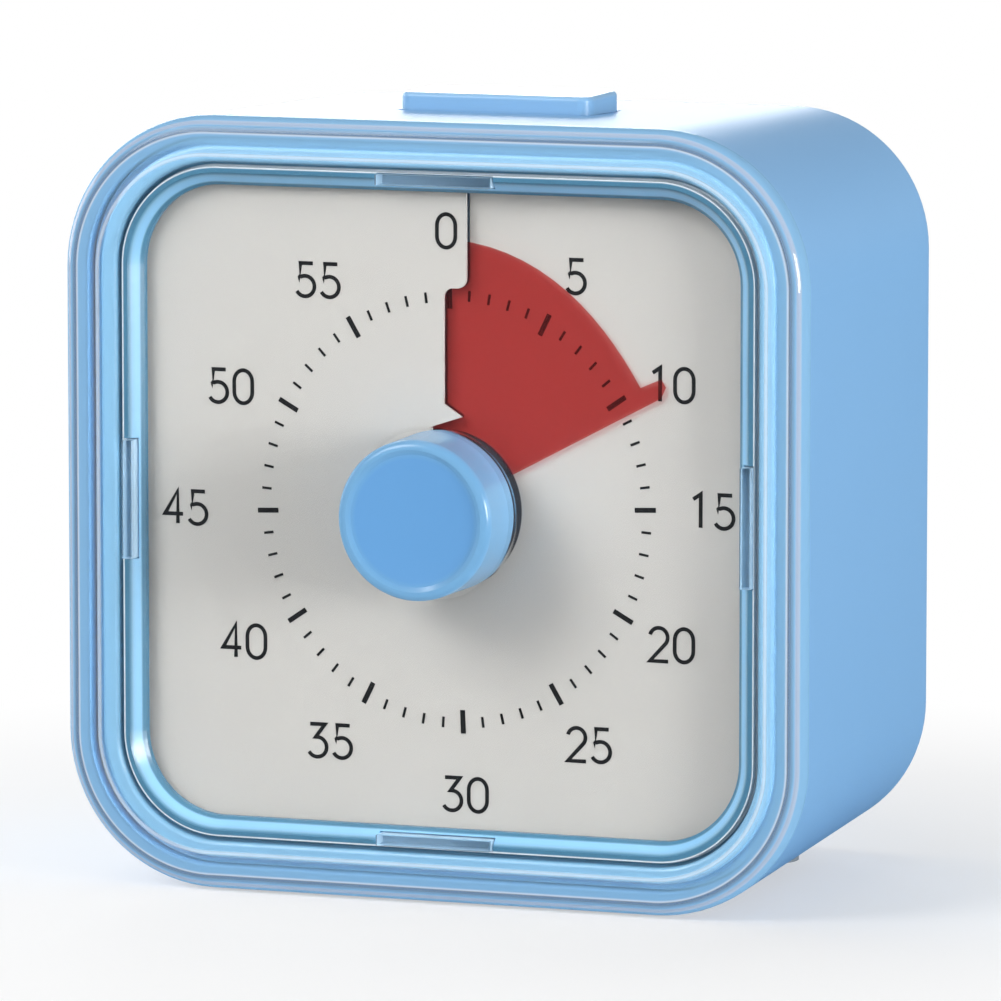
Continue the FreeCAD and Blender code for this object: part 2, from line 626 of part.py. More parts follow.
# Inner tray: it backs the dial, joins the frame to the case and carries the movement.
TRAY_WIDE = f"( {INNER_WIDE} - 8 * seat_gap )"
TRAY_TALL = f"( {INNER_TALL} - 8 * seat_gap )"
TRAY_ROUND = f"( {INNER_ROUND} - 4 * seat_gap )"
RIM_WIDE = "( opening_width + 4 )"
RIM_TALL = "( opening_height + 4 )"
RIM_ROUND = "( opening_radius + 2 )"
tray_body = doc.addObject("PartDesign::Body", "tray_body")
slab(tray_body, TRAY_FRONT, "tray_thick", [(TRAY_WIDE, TRAY_TALL, TRAY_ROUND)])
slab(tray_body, "frame_back", f"{TRAY_FRONT} - frame_back + 0.5",
     [(TRAY_WIDE, TRAY_TALL, TRAY_ROUND), (RIM_WIDE, RIM_TALL, RIM_ROUND)])
tray_posts = []
tray_pilots = []
for side_x in (-1, 1):
    for side_z in (-1, 1):
        x = f"{side_x} * post_spread"
        z = f"{AXIS} + {side_z} * post_spread"
        tray_posts.append(rod("y", "post_radius - 0.4", f"{POST_FRONT} - {MOVEMENT_FRONT} + 0.5", x,
                              depth(f"{MOVEMENT_FRONT} - 0.5"), z))
        tray_pilots.append(rod("y", "screw_radius + shaft_gap", "10", x, depth(f"{POST_FRONT} - 6"), z))
collar_way = rod("y", "collar_radius + seat_gap", "6", "0", depth(f"{TRAY_FRONT} - 1"), AXIS)
MOVEMENT_X = "movement_side"
MOVEMENT_Z = f"( {AXIS} + movement_rise )"
LUG_SPOTS = ((-1, 1), (1, 1), (0, -1))
lug_places = [
    (f"{MOVEMENT_X} + {side_x} * ( movement_width / 2 + 2.2 )" if side_x else MOVEMENT_X,
     f"{MOVEMENT_Z} + {side_z} * 8" if side_x else f"{MOVEMENT_Z} - movement_height / 2 - 2.2")
    for side_x, side_z in LUG_SPOTS
]
mount_pilots = [
    rod("y", "0.8 + shaft_gap", "tray_thick + 4", x, depth(f"{TRAY_FRONT} + 0.4"), z) for x, z in lug_places
]
keep("inner_tray", without(fused(tray_body, *tray_posts), *tray_pilots, collar_way, *mount_pilots,
                           *clip_blocks("seat_gap", depth("frame_back - 1"), "clip_reach + pane_thick - frame_back + 1.5")))
keep("case_screws", group(*[
    fused(
        rod("y", "screw_radius", "6.5", f"{side_x} * post_spread", depth(f"{POST_FRONT} - 4.4"),
            f"{AXIS} + {side_z} * post_spread"),
        without(
            rod("y", "screw_head", "1.8", f"{side_x} * post_spread", depth(f"{POST_FRONT} + 2"),
                f"{AXIS} + {side_z} * post_spread"),
            block("3", "1", "0.6", f"{side_x} * post_spread", depth(f"{POST_FRONT} + 3.1"),
                  f"{AXIS} + {side_z} * post_spread - 0.3"),
            block("0.6", "1", "3", f"{side_x} * post_spread", depth(f"{POST_FRONT} + 3.1"),
                  f"{AXIS} + {side_z} * post_spread - 1.5")))
    for side_x in (-1, 1) for side_z in (-1, 1)
]))

# Movement case: two shells. Arbors run in blind pivots in both.
MOVE_LOW_Z = f"{MOVEMENT_Z} - movement_height / 2"
INNER_MOVE_WIDE = "( movement_width - 2 * movement_wall )"
INNER_MOVE_TALL = "( movement_height - 2 * movement_wall )"
shell_front = block("movement_width", "movement_wall + movement_room", "movement_height", MOVEMENT_X,
                    depth(MOVEMENT_FRONT), MOVE_LOW_Z)
shell_room = block(INNER_MOVE_WIDE, "movement_room + 1", INNER_MOVE_TALL, MOVEMENT_X,
                   depth(f"{MOVEMENT_FRONT} + movement_wall"), f"{MOVE_LOW_Z} + movement_wall")
bearing = rod("y", "collar_radius", f"{MOVEMENT_FRONT} - {TRAY_FRONT} + 0.2", "0", depth(TRAY_FRONT), AXIS)
bearing_bore = rod("y", "spindle_radius + shaft_gap", "movement_wall + tray_thick + 3", "0",
                   depth(f"{TRAY_FRONT} - 1"), AXIS)
lugs = [rod("y", "2.6", "1.4", x, depth(MOVEMENT_FRONT), z) for x, z in lug_places]
lug_holes = [rod("y", "0.8 + shaft_gap", "4", x, depth(f"{MOVEMENT_FRONT} - 1"), z) for x, z in lug_places]
keep("movement_screws", group(*[
    fused(rod("y", "0.8", "2.4", x, depth(f"{MOVEMENT_FRONT} - 0.9"), z),
          rod("y", "1.6", "1.1", x, depth(f"{MOVEMENT_FRONT} + 1.4"), z))
    for x, z in lug_places
]))

# Going train: the rotor's pinion drives three double wheels down to the wheel on the spindle.
module = size("tooth_module")
FIRST, SECOND, THIRD, FOURTH, PINION = 60, 64, 60, 32, 8


def mesh_place(start, teeth, heading):
    """The centre of the next pinion, in mesh with a wheel at start, towards a heading from up."""
    distance = module * (teeth + PINION) / 2
    return (start[0] + distance * math.sin(math.radians(heading)),
            start[1] + distance * math.cos(math.radians(heading)))


HEADINGS = {"third": 240.0, "second": -10.0, "fourth": 50.0, "rotor": 90.0}
spot_first = (0.0, axis_height)
spot_third = mesh_place(spot_first, FIRST, HEADINGS["third"])
spot_second = mesh_place(spot_third, SECOND, HEADINGS["second"])
spot_fourth = mesh_place(spot_second, THIRD, HEADINGS["fourth"])
spot_rotor = mesh_place(spot_fourth, FOURTH, HEADINGS["rotor"])
layer_zero = amount(depth(WHEEL_ONE))
wheel_thick = size("wheel_thick")
layer_step = size("layer_step")
pivot_front = amount(depth(f"{MOVEMENT_FRONT} + movement_wall / 2"))
room_front = amount(depth(f"{MOVEMENT_FRONT} + movement_wall"))
room_back = room_front + size("movement_room")
pivot_back = room_back + size("movement_wall") / 2


def wheel_phase(teeth, heading):
    """A wheel turned so that a gap between two teeth points along its heading."""
    return heading + 180.0 / teeth


def double_wheel(spot, teeth, layer, pinion_heading, wheel_heading):
    """One arbor with its pinion in one layer and its wheel in the next."""
    start = layer_zero + layer * layer_step
    pinion = gear(PINION, spot[0], spot[1], start - 0.15, wheel_thick + 0.5, pinion_heading + 180.0)
    wheel = gear(teeth, spot[0], spot[1], start + layer_step, wheel_thick, wheel_phase(teeth, wheel_heading))
    arbor = Part.makeCylinder(size("arbor_radius"), pivot_back - pivot_front,
                              Vector(spot[0], pivot_front, spot[1]), Vector(0, 1, 0))
    boss = Part.makeCylinder(module * 2.5, layer_step, Vector(spot[0], start + 0.35, spot[1]), Vector(0, 1, 0))
    return arbor.multiFuse([pinion, wheel, boss]).removeSplitter()


keep("drive_wheel", drawn(gear(FIRST, 0.0, axis_height, layer_zero, wheel_thick,
                               wheel_phase(FIRST, HEADINGS["third"]),
                               size("spindle_radius") + size("shaft_gap"))))
keep("third_wheel", drawn(double_wheel(spot_third, SECOND, 0, HEADINGS["third"], HEADINGS["second"])))
keep("second_wheel", drawn(double_wheel(spot_second, THIRD, 1, HEADINGS["second"], HEADINGS["fourth"])))
keep("fourth_wheel", drawn(double_wheel(spot_fourth, FOURTH, 2, HEADINGS["fourth"], HEADINGS["rotor"])))
rotor_start = layer_zero + 3 * layer_step
rotor_pinion = gear(PINION, spot_rotor[0], spot_rotor[1], rotor_start - 0.15, wheel_thick + 0.5,
                    HEADINGS["rotor"] + 180.0)
rotor_arbor = Part.makeCylinder(size("arbor_radius"), pivot_back - pivot_front,
                                Vector(spot_rotor[0], pivot_front, spot_rotor[1]), Vector(0, 1, 0))
magnet_length = 1.6
magnet_start = rotor_start - magnet_length - 0.4
rotor_bore = Part.makeCylinder(size("arbor_radius"), magnet_length,
                               Vector(spot_rotor[0], magnet_start, spot_rotor[1]), Vector(0, 1, 0))
magnet = Part.makeCylinder(size("rotor_radius"), magnet_length,
                           Vector(spot_rotor[0], magnet_start, spot_rotor[1]), Vector(0, 1, 0))
keep("rotor_pinion", drawn(rotor_arbor.fuse(rotor_pinion)))
keep("rotor_magnet", drawn(magnet.cut(rotor_bore)))

# Stepping motor: a split iron frame round the rotor and its coil.
iron_thick = 1.0
iron_start = magnet_start + (magnet_length - iron_thick) / 2
coil_x = spot_rotor[0] + 10.4
iron = Part.makeBox(16.0, iron_thick, 15.0, Vector(spot_rotor[0] - 4.4, iron_start, spot_rotor[1] - 7.5))
iron_window = Part.makeBox(6.0, iron_thick, 9.0, Vector(spot_rotor[0] + 3.6, iron_start, spot_rotor[1] - 4.5))
rotor_way = Part.makeCylinder(size("rotor_radius") + size("running_gap"), iron_thick,
                              Vector(spot_rotor[0], iron_start, spot_rotor[1]), Vector(0, 1, 0))
keep("motor_iron", drawn(iron.cut(iron_window).cut(rotor_way)))
coil_outer = Part.makeCylinder(2.6, 8.4, Vector(coil_x, iron_start + iron_thick / 2, spot_rotor[1] - 4.2))
coil_slot = Part.makeBox(3.0, iron_thick, 9.0, Vector(coil_x - 0.8, iron_start, spot_rotor[1] - 4.5))
keep("motor_coil", drawn(coil_outer.cut(iron).cut(coil_slot)))

arbor_spots = (spot_third, spot_second, spot_fourth, spot_rotor)
arbor_pockets = [
    Part.makeCylinder(size("arbor_radius") + size("shaft_gap"), pivot_back - pivot_front + 0.2,
                      Vector(spot[0], pivot_front - 0.1, spot[1]), Vector(0, 1, 0))
    for spot in arbor_spots
]
pocket_tool = drawn(Part.makeCompound(arbor_pockets))
keep("movement_front", without(fused(shell_front, bearing, *lugs), shell_room, bearing_bore, *lug_holes, pocket_tool))
lid_tool = drawn(Part.makeCompound([pocket.copy() for pocket in arbor_pockets]))
iron_pegs = [
    Part.makeCylinder(1.0, room_back - iron_start - iron_thick + 0.2,
                      Vector(spot_rotor[0] + across, iron_start + iron_thick, spot_rotor[1] + up), Vector(0, 1, 0))
    for across, up in ((9.4, -6.0), (9.4, 6.0), (-3.0, -6.1))
]
movement_lid = block("movement_width", "movement_wall", "movement_height", MOVEMENT_X,
                     depth(f"{MOVEMENT_FRONT} + movement_wall + movement_room"), MOVE_LOW_Z)
keep("movement_back", without(fused(movement_lid, drawn(Part.makeCompound(iron_pegs))), lid_tool))

# Circuit board under the case top, with the stop button's switch, the beeper and the timing chip.
board_low = f"( {BOARD_TOP} - board_thick )"
board_holes = [
    rod("z", "0.8 + shaft_gap", "4", f"{side} * ( board_width / 2 - 3 )",
        depth(f"button_place + {ahead} * 7"), f"{board_low} - 1")
    for side, ahead in ((-1, -1), (1, 1))
]
keep("circuit_board", without(
    block("board_width", "board_length", "board_thick", "0", depth("button_place - board_length / 2"),
          board_low), *board_holes))
keep("board_screws", group(*[
    fused(rod("z", "0.8", "4.6", f"{side} * ( board_width / 2 - 3 )", depth(f"button_place + {ahead} * 7"),
              f"{board_low} - 0.2"),
          rod("z", "1.6", "1.0", f"{side} * ( board_width / 2 - 3 )", depth(f"button_place + {ahead} * 7"),
              f"{board_low} - 1.0"))
    for side, ahead in ((-1, -1), (1, 1))
]))
switch_hole = rod("z", "1.75", "4", "0", depth("button_place"), f"{BOARD_TOP} + 1")
keep("switch_body", without(
    block("6.2", "6.2", "3.4", "0", depth("button_place - 3.1"), BOARD_TOP), switch_hole))
PLUNGER_LOW = f"( {BOARD_TOP} + 1 + button_travel + running_gap )"
PLUNGER_TOP = f"( {BOARD_TOP} + 3.4 + button_travel + running_gap )"
keep("switch_plunger", rod("z", "1.7", f"{PLUNGER_TOP} - {PLUNGER_LOW}", "0", depth("button_place"), PLUNGER_LOW))
keep("timing_chip", block("6.0", "5.0", "1.4", "-12", depth("button_place + 1"), BOARD_TOP))
keep("quartz_crystal", rod("y", "1.0", "6.0", "-5.5", depth("button_place + 1"), f"{BOARD_TOP} + 1.0"))
keep("beeper", rod("z", "5.5", "4.5", "12", depth("button_place"), f"{board_low} - 4.5"))

# Stop button: a bar with a shallow skirt, a flange that stops it and a stem on the switch.
button_shell = block("button_width", "button_length", f"{CASE_TOP} + button_rise - {BUTTON_FLOOR} + 0.6", "0",
                     depth("button_place - button_length / 2"), f"{BUTTON_FLOOR} - 0.6")
FLANGE_TOP = f"( {CASE_TOP} - case_wall - {SLOPE} * ( button_place + button_length / 2 + 2 ) - running_gap )"
flange = block("button_width + 2.4", "button_length + 2.4", "0.9", "0",
               depth("button_place - button_length / 2 - 1.2"), f"{FLANGE_TOP} - 0.9")
button_room = block("button_width - 3", "button_length - 3", "20", "0",
                    depth("button_place - button_length / 2 + 1.5"), f"{CASE_TOP} + button_rise - 1.6 - 20")
stem = rod("z", "1.7", f"{CASE_TOP} + button_rise - 1 - {PLUNGER_TOP}", "0", depth("button_place"), PLUNGER_TOP)
button_raw = without(fused(button_shell, flange), button_room)
doc.recompute()
button_top = amount(f"{CASE_TOP} + button_rise")
button_deep = amount(depth("button_place"))
corner_edges = []
for number, edge in enumerate(button_raw.Shape.Edges, start=1):
    box = edge.BoundBox
    outer_x = abs(abs(box.Center.x) - size("button_width") / 2) < 0.01
    outer_y = abs(abs(box.Center.y - button_deep) - size("button_length") / 2) < 0.01
    if outer_x and outer_y and box.ZMax > button_top - 0.01:
        corner_edges.append((number, 1.4, 1.4))
corner_fillet = doc.addObject("Part::Fillet", "corner_fillet")
corner_fillet.Base = button_raw
corner_fillet.Edges = corner_edges
doc.recompute()
top_edges = []
for number, edge in enumerate(corner_fillet.Shape.Edges, start=1):
    box = edge.BoundBox
    if box.ZMin > button_top - 0.01:
        top_edges.append((number, 0.5, 0.5))
top_fillet = doc.addObject("Part::Fillet", "top_fillet")
top_fillet.Base = corner_fillet
top_fillet.Edges = top_edges
keep("stop_button", fused(top_fillet, stem))

# Cell, its contacts and its leads.
CELL_Y = f"( {BACK} - door_thick - 0.6 - cell_radius )"
CELL_LOW = "( 0 - cell_length / 2 )"
keep("cell", fused(
    rod("x", "cell_radius", "cell_length - 1.5", CELL_LOW, CELL_Y, BAY_MIDDLE),
    rod("x", "2.7", "1.5", "cell_length / 2 - 1.5", CELL_Y, BAY_MIDDLE)))
PLATE_X = "( bay_length / 2 - 0.3 )"
keep("contact_plus", fused(
    block("0.4", "10", "12", f"{PLATE_X} - 0.2 + 0.3", f"{CELL_Y} - 5", f"{BAY_MIDDLE} - 6"),
    rod("x", "3.0", f"{PLATE_X} - cell_length / 2", "cell_length / 2", CELL_Y, BAY_MIDDLE)))
keep("contact_minus_plate", block("0.4", "10", "12", f"0 - {PLATE_X} - 0.1", f"{CELL_Y} - 5", f"{BAY_MIDDLE} - 6"))
spring_wire = 0.35
spring_radius = 3.0
spring_turns = 4
spring_from = -amount(PLATE_X) + 0.15
spring_length = -size("cell_length") / 2 - spring_from
spring_climb = spring_length - 2 * spring_wire
sections_per_turn = 20
wire_sides = 6


def wire_section(number):
    """The spring wire's six-sided cross section at one step of its coil about X."""
    turn = 2 * math.pi * number / sections_per_turn
    out = Vector(0, math.sin(turn), math.cos(turn))
    centre = out * spring_radius + Vector(spring_climb * number / (spring_turns * sections_per_turn), 0, 0)
    corners = []
    for side in range(wire_sides):
        angle = 2 * math.pi * side / wire_sides
        corners.append(centre + out * (spring_wire * math.cos(angle)) + Vector(spring_wire * math.sin(angle), 0, 0))
    return Part.makePolygon(corners + [corners[0]])


coil = Part.makeLoft([wire_section(number) for number in range(spring_turns * sections_per_turn + 1)], True, True)
spring_place = Vector(spring_from + spring_wire, amount(CELL_Y), amount(BAY_MIDDLE))
keep("contact_minus_spring", drawn(coil, FreeCAD.Placement(spring_place, Rotation())))

# Cell door: a flush plate with two hooks along its lower edge and a finger groove.
DOOR_LOW = f"( {BAY_MIDDLE} - {door_tall} / 2 )"
door_plate = block(f"{door_long} - 2 * seat_gap", "door_thick", f"{door_tall} - 2 * seat_gap", "0",
                   f"{BACK} - door_thick", f"{DOOR_LOW} + seat_gap")
door_hooks = [
    block("4.4", "1.9", "1.4", f"{side} * 16", f"{BACK} - door_thick - 1.9", f"{DOOR_LOW} + seat_gap + 1.4")
    for side in (-1, 1)
]
finger_grooves = [
    block("14", "0.6", "0.8", "0", f"{BACK} - 0.6", f"{DOOR_LOW} + {door_tall} - {4.0 + 1.8 * line}")
    for line in range(3)
]
keep("battery_door", without(fused(door_plate, *door_hooks), *finger_grooves))

doc.recompute()
broken = [item.Label for item in doc.Objects if "Invalid" in item.State or "Error" in item.State]
if broken:
    raise RuntimeError(f"objects that failed: {broken}")
for node, piece in PARTS.items():
    if piece.Shape.isNull() or not piece.Shape.isValid() or not piece.Shape.Solids:
        raise RuntimeError(f"sub-part that isn't a valid solid: {node}")
os.makedirs("parts", exist_ok=True)
for node, piece in PARTS.items():
    piece.Shape.exportStep(f"parts/{node}.step")
print(len(PARTS), "sub-parts written")
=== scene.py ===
import math

import bpy
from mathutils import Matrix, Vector


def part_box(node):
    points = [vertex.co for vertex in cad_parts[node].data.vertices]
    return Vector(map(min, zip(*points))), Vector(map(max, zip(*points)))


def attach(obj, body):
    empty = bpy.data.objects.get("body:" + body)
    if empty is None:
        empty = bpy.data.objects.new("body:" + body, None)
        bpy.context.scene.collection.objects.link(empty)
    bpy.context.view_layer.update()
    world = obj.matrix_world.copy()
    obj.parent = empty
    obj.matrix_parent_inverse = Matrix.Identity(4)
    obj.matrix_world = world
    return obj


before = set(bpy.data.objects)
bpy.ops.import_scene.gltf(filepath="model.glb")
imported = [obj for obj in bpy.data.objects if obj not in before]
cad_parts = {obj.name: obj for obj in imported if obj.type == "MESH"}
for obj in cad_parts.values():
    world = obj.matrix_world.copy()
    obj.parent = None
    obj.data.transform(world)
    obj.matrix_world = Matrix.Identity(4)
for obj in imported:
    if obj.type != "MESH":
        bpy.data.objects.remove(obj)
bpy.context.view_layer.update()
MM = 0.001

# Viewpoint. The photograph looks at the clear front from a little right and above, with a long lens,
# and its middle falls a few millimetres right of and above the middle of the pane.
view_azimuth = math.radians(19.7)
view_elevation = math.radians(7.6)
view_distance = 922.3 * MM
view_right_of_pane = 7.61 * MM
view_above_pane = 1.62 * MM
sensor_width = 36.0
lens_pixels = 8858
image_pixels = 1001

pane_low, pane_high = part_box("front_cover")
pane_middle = Vector(((pane_low.x + pane_high.x) / 2, pane_low.y, (pane_low.z + pane_high.z) / 2))
view_back = Vector((
    math.sin(view_azimuth) * math.cos(view_elevation),
    -math.cos(view_azimuth) * math.cos(view_elevation),
    math.sin(view_elevation),
))
view_right = Vector((math.cos(view_azimuth), math.sin(view_azimuth), 0.0))
view_up = view_back.cross(view_right)
aim = pane_middle + view_right * view_right_of_pane + view_up * view_above_pane
camera_data = bpy.data.cameras.new("camera")
camera_data.sensor_width = sensor_width
camera_data.lens = sensor_width * lens_pixels / image_pixels
camera_data.clip_start = 50 * MM
camera_data.clip_end = 50000 * MM
camera = bpy.data.objects.new("camera", camera_data)
camera.location = aim + view_back * view_distance
camera.rotation_euler = view_back.to_track_quat("Z", "Y").to_euler()
bpy.context.scene.collection.objects.link(camera)
bpy.context.scene.camera = camera
bpy.context.scene.view_settings.view_transform = "Standard"


# Light. A white room, dim towards the upper right, with a soft lamp high on the left in front and a
# lower one on the right. Lamps behind and above make the top of the case gleam, and one on the left
# lights the rims.
def linear(hex_colour):
    """An sRGB hex colour as linear RGBA."""
    channels = [int(hex_colour[i:i + 2], 16) / 255 for i in (1, 3, 5)]
    return (*[c / 12.92 if c <= 0.04045 else ((c + 0.055) / 1.055) ** 2.4 for c in channels], 1.0)


def node(material, kind, inputs=None, **attributes):
    """Add one shader node, with its own settings, and values or links for its sockets."""
    item = material.node_tree.nodes.new(kind)
    for name, value in attributes.items():
        setattr(item, name, value)
    for name, value in (inputs or {}).items():
        socket = item.inputs[name]
        if isinstance(value, bpy.types.NodeSocket):
            material.node_tree.links.new(value, socket)
        else:
            socket.default_value = value
    return item


def area_lamp(name, place, target, width, watts):
    """A square soft lamp that faces its target."""
    lamp_data = bpy.data.lights.new(name, "AREA")
    lamp_data.shape = "SQUARE"
    lamp_data.size = width
    lamp_data.energy = watts
    lamp = bpy.data.objects.new(name, lamp_data)
    lamp.location = place
    lamp.rotation_euler = (Vector(place) - Vector(target)).to_track_quat("Z", "Y").to_euler()
    bpy.context.scene.collection.objects.link(lamp)


room_light = 0.42
dimmest_room = room_light * 0.15
upper_right = (0.66, 0.1, 0.74)
dim_begins, dim_full = 0.3, 0.95
world = bpy.data.worlds.new("white_room")
bpy.context.scene.world = world
world.use_nodes = True
world.node_tree.nodes.clear()
ray = node(world, "ShaderNodeLightPath")
seen = node(world, "ShaderNodeMath", {
    0: ray.outputs["Is Camera Ray"], 1: ray.outputs["Is Transmission Ray"]}, operation="MAXIMUM")
sky = node(world, "ShaderNodeTexCoord")
toward_shade = node(world, "ShaderNodeVectorMath", {0: sky.outputs["Generated"], 1: upper_right},
                    operation="DOT_PRODUCT")
shaded_room = node(world, "ShaderNodeMapRange", {
    "Value": toward_shade.outputs["Value"], "From Min": dim_begins, "From Max": dim_full,
    "To Min": room_light, "To Max": dimmest_room})
strength = node(world, "ShaderNodeMix", {0: seen.outputs[0], 2: shaded_room.outputs[0], 3: 1.0},
                data_type="FLOAT")
room = node(world, "ShaderNodeBackground", {"Color": linear("#FFFFFF"), "Strength": strength.outputs[0]})
node(world, "ShaderNodeOutputWorld", {"Surface": room.outputs[0]})
timer_top = (0.0, 0.0, 0.08)
area_lamp("key_lamp", place=(-0.42, -0.55, 0.52), target=pane_middle, width=0.4, watts=3.2)
area_lamp("side_lamp", place=(0.8, -0.3, 0.14), target=(0.04, 0.0, 0.04), width=0.24, watts=4.6)
area_lamp("back_lamp", place=(-0.42, 0.95, 0.2), target=timer_top, width=0.4, watts=3.2)
area_lamp("top_lamp", place=(-0.1, 0.1, 0.8), target=timer_top, width=0.5, watts=1.2)
area_lamp("rim_lamp", place=(-0.9, 0.25, 0.12), target=pane_middle, width=0.5, watts=2.8)


# Floor. A plain sheet of matt white paper that runs out of the view on all sides. It keeps the timer's
# soft shadow near it and fades to pure white further out. Glossy parts reflect it as a dim grey.
def material_output(material, shader):
    """Show one shader on the material's surface."""
    node(material, "ShaderNodeOutputMaterial", {"Surface": shader})


def new_material(name):
    """An empty node material."""
    material = bpy.data.materials.new(name)
    material.use_nodes = True
    material.node_tree.nodes.clear()
    return material


paper_specks_across = 900
shadow_reach = 50 * MM
white_reach = 130 * MM
floor_reach = 8000 * MM
floor_paper = new_material("matt_white_paper")
paper_grain = node(floor_paper, "ShaderNodeTexNoise", {"Scale": paper_specks_across, "Detail": 2.0})
paper_tone = node(floor_paper, "ShaderNodeMix", {"Factor": paper_grain.outputs["Fac"], 6: linear("#F4F5F6"),
                                                 7: linear("#F8F9FA")}, data_type="RGBA")
paper = node(floor_paper, "ShaderNodeBsdfPrincipled", {
    "Base Color": paper_tone.outputs[2], "Roughness": 0.9, "Specular IOR Level": 0.1})
floor_place = node(floor_paper, "ShaderNodeTexCoord")
from_timer = node(floor_paper, "ShaderNodeVectorMath", {0: floor_place.outputs["Object"]},
                  operation="LENGTH")
fade = node(floor_paper, "ShaderNodeMapRange", {
    "Value": from_timer.outputs["Value"], "From Min": shadow_reach, "From Max": white_reach,
    "To Min": 0.5, "To Max": 1.0})
floor_ray = node(floor_paper, "ShaderNodeLightPath")
direct = node(floor_paper, "ShaderNodeMath", {
    0: floor_ray.outputs["Is Camera Ray"], 1: floor_ray.outputs["Is Transmission Ray"]}, operation="MAXIMUM")
white_share = node(floor_paper, "ShaderNodeMath", {0: fade.outputs[0], 1: direct.outputs[0]},
                   operation="MULTIPLY")
sweep = node(floor_paper, "ShaderNodeEmission", {"Color": linear("#FFFFFF"), "Strength": 1.0})
paper_seen = node(floor_paper, "ShaderNodeMixShader", {0: white_share.outputs[0], 1: paper.outputs[0],
                                                       2: sweep.outputs[0]})
floor_dim = node(floor_paper, "ShaderNodeBsdfDiffuse", {"Color": linear("#50565C")})
paper_all = node(floor_paper, "ShaderNodeMixShader", {0: floor_ray.outputs["Is Glossy Ray"],
                                                      1: paper_seen.outputs[0], 2: floor_dim.outputs[0]})
material_output(floor_paper, paper_all.outputs[0])
floor_mesh = bpy.data.meshes.new("floor")
floor_mesh.from_pydata([(-floor_reach, -floor_reach, 0), (floor_reach, -floor_reach, 0),
                        (floor_reach, floor_reach, 0), (-floor_reach, floor_reach, 0)], [], [(0, 1, 2, 3)])
floor_mesh.materials.append(floor_paper)
floor = bpy.data.objects.new("floor", floor_mesh)
bpy.context.scene.collection.objects.link(floor)


# Case and cell door. Light blue ABS, injection moulded in a spark-etched tool, which gives it a fine
# matt grain and a soft sheen. The grain is drawn coarser than life, so that it shows.
def dress(names, material):
    """Give CAD nodes one material."""
    for name in names:
        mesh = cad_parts[name].data
        mesh.materials.clear()
        mesh.materials.append(material)


def etched_abs(name, colour, shade, grain, roughness, depth):
    """Moulded plastic. Its tone drifts a little from colour to shade; grain is one speck's width."""
    drift_width = 30 * MM
    material = new_material(name)
    place = node(material, "ShaderNodeTexCoord")
    drift = node(material, "ShaderNodeTexNoise", {
        "Vector": place.outputs["Object"], "Scale": 1 / drift_width, "Detail": 3.0})
    tone = node(material, "ShaderNodeMix", {
        "Factor": drift.outputs["Fac"], 6: linear(colour), 7: linear(shade)}, data_type="RGBA")
    speck = node(material, "ShaderNodeTexNoise", {
        "Vector": place.outputs["Object"], "Scale": 1 / grain, "Detail": 4.0, "Roughness": 0.6})
    bump = node(material, "ShaderNodeBump", {
        "Height": speck.outputs["Fac"], "Strength": 0.5, "Distance": depth})
    surface = node(material, "ShaderNodeBsdfPrincipled", {
        "Base Color": tone.outputs[2], "Roughness": roughness, "IOR": 1.53,
        "Normal": bump.outputs["Normal"]})
    material_output(material, surface.outputs[0])
    return material


def plain_tone(material):
    """The colour that a moulded plastic has before anything is laid over it."""
    return material.node_tree.nodes["Principled BSDF"].inputs["Base Color"].links[0].from_socket


def recolour(material, tone):
    """Give a moulded plastic another colour, from a socket."""
    surface = material.node_tree.nodes["Principled BSDF"]
    material.node_tree.links.new(tone, surface.inputs["Base Color"])


case_abs = etched_abs("spark_etched_blue_abs", "#87BCEB", "#83B8E8",
                      grain=0.35 * MM, roughness=0.45, depth=0.02 * MM)
dress(("housing", "battery_door"), case_abs)


# Front frame. The ring round the dial's window, in blue ABS from a polished tool. The fine lines of light
# and shade that its steps catch are painted into its tint, as painted highlights and painted shade in bands
# by distance from the window.
def past_corner_centre(material, reach, corner):
    """Distance out from a rounded square's corner centres, the same all along its edge."""
    place = node(material, "ShaderNodeTexCoord")
    from_middle = node(material, "ShaderNodeVectorMath", {
        0: place.outputs["Object"], 1: (0.0, 0.0, pane_middle.z)}, operation="SUBTRACT")
    folded = node(material, "ShaderNodeVectorMath", {0: from_middle.outputs[0]}, operation="ABSOLUTE")
    past_centre = node(material, "ShaderNodeVectorMath", {
        0: folded.outputs[0], 1: (reach.x - corner, 1.0, reach.z - corner)}, operation="SUBTRACT")
    outside = node(material, "ShaderNodeVectorMath", {
        0: past_centre.outputs[0], 1: (0.0, 0.0, 0.0)}, operation="MAXIMUM")
    distance = node(material, "ShaderNodeVectorMath", {0: outside.outputs[0]}, operation="LENGTH")
    return distance.outputs["Value"]


lip_plain = "#8ABDDF"
lip_painted_light = "#8FC8EE"
lip_painted_shade = "#4B809E"
lip_painted_glint = "#E4EEF4"
frame_abs = etched_abs("polished_blue_abs", lip_plain, lip_painted_light,
                       grain=6.0 * MM, roughness=0.22, depth=0.01 * MM)
window_reach = Vector((66.1 * MM / 2, 0.0, 67.1 * MM / 2))
window_corner = 8.7 * MM
lip_widest = 5.5 * MM
lip_outward = node(frame_abs, "ShaderNodeMapRange", {
    "Value": past_corner_centre(frame_abs, window_reach, window_corner), "From Min": window_corner,
    "From Max": window_corner + lip_widest, "To Min": 0.0, "To Max": 1.0})
